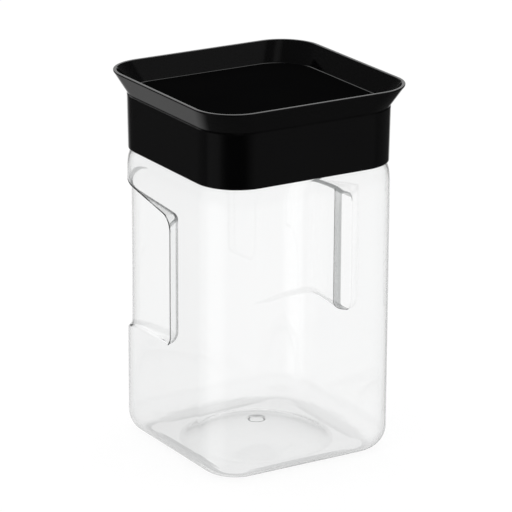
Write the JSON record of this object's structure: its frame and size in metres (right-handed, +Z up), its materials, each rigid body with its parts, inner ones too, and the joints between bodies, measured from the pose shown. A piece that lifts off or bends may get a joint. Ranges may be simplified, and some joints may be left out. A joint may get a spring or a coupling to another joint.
{
  "type": "lidded kitchen canister",
  "caption": "Square clear canister with rounded corners, pinch grips on its sides and a push-on black lid with a flared tray rim, for dry food.",
  "frame": {"origin": "centre of the base, on the plane that the jar stands on", "axes": "+Z up through the lid, -Y the plain front wall, -X and +X the walls with the pinch grips"},
  "size_m": [0.1092, 0.1092, 0.1784],
  "materials": {
    "clear_shell": "clear, glossy",
    "black_lid": "glossy moulded, fine matt tray floor",
    "black_pan": "satin moulded",
    "soft_seal": "soft matt silicone"
  },
  "bodies": {
    "jar": {"jar_body": "clear_shell"},
    "lid": {"lid_shell": "black_lid", "plug_insert": "black_pan", "seal_ring": "soft_seal"}
  },
  "joints": [
    {"name": "lid_lift", "type": "slide", "parent": "jar", "child": "lid", "axis": [0, 0, 1], "range_m": [0, 0.06]}
  ]
}
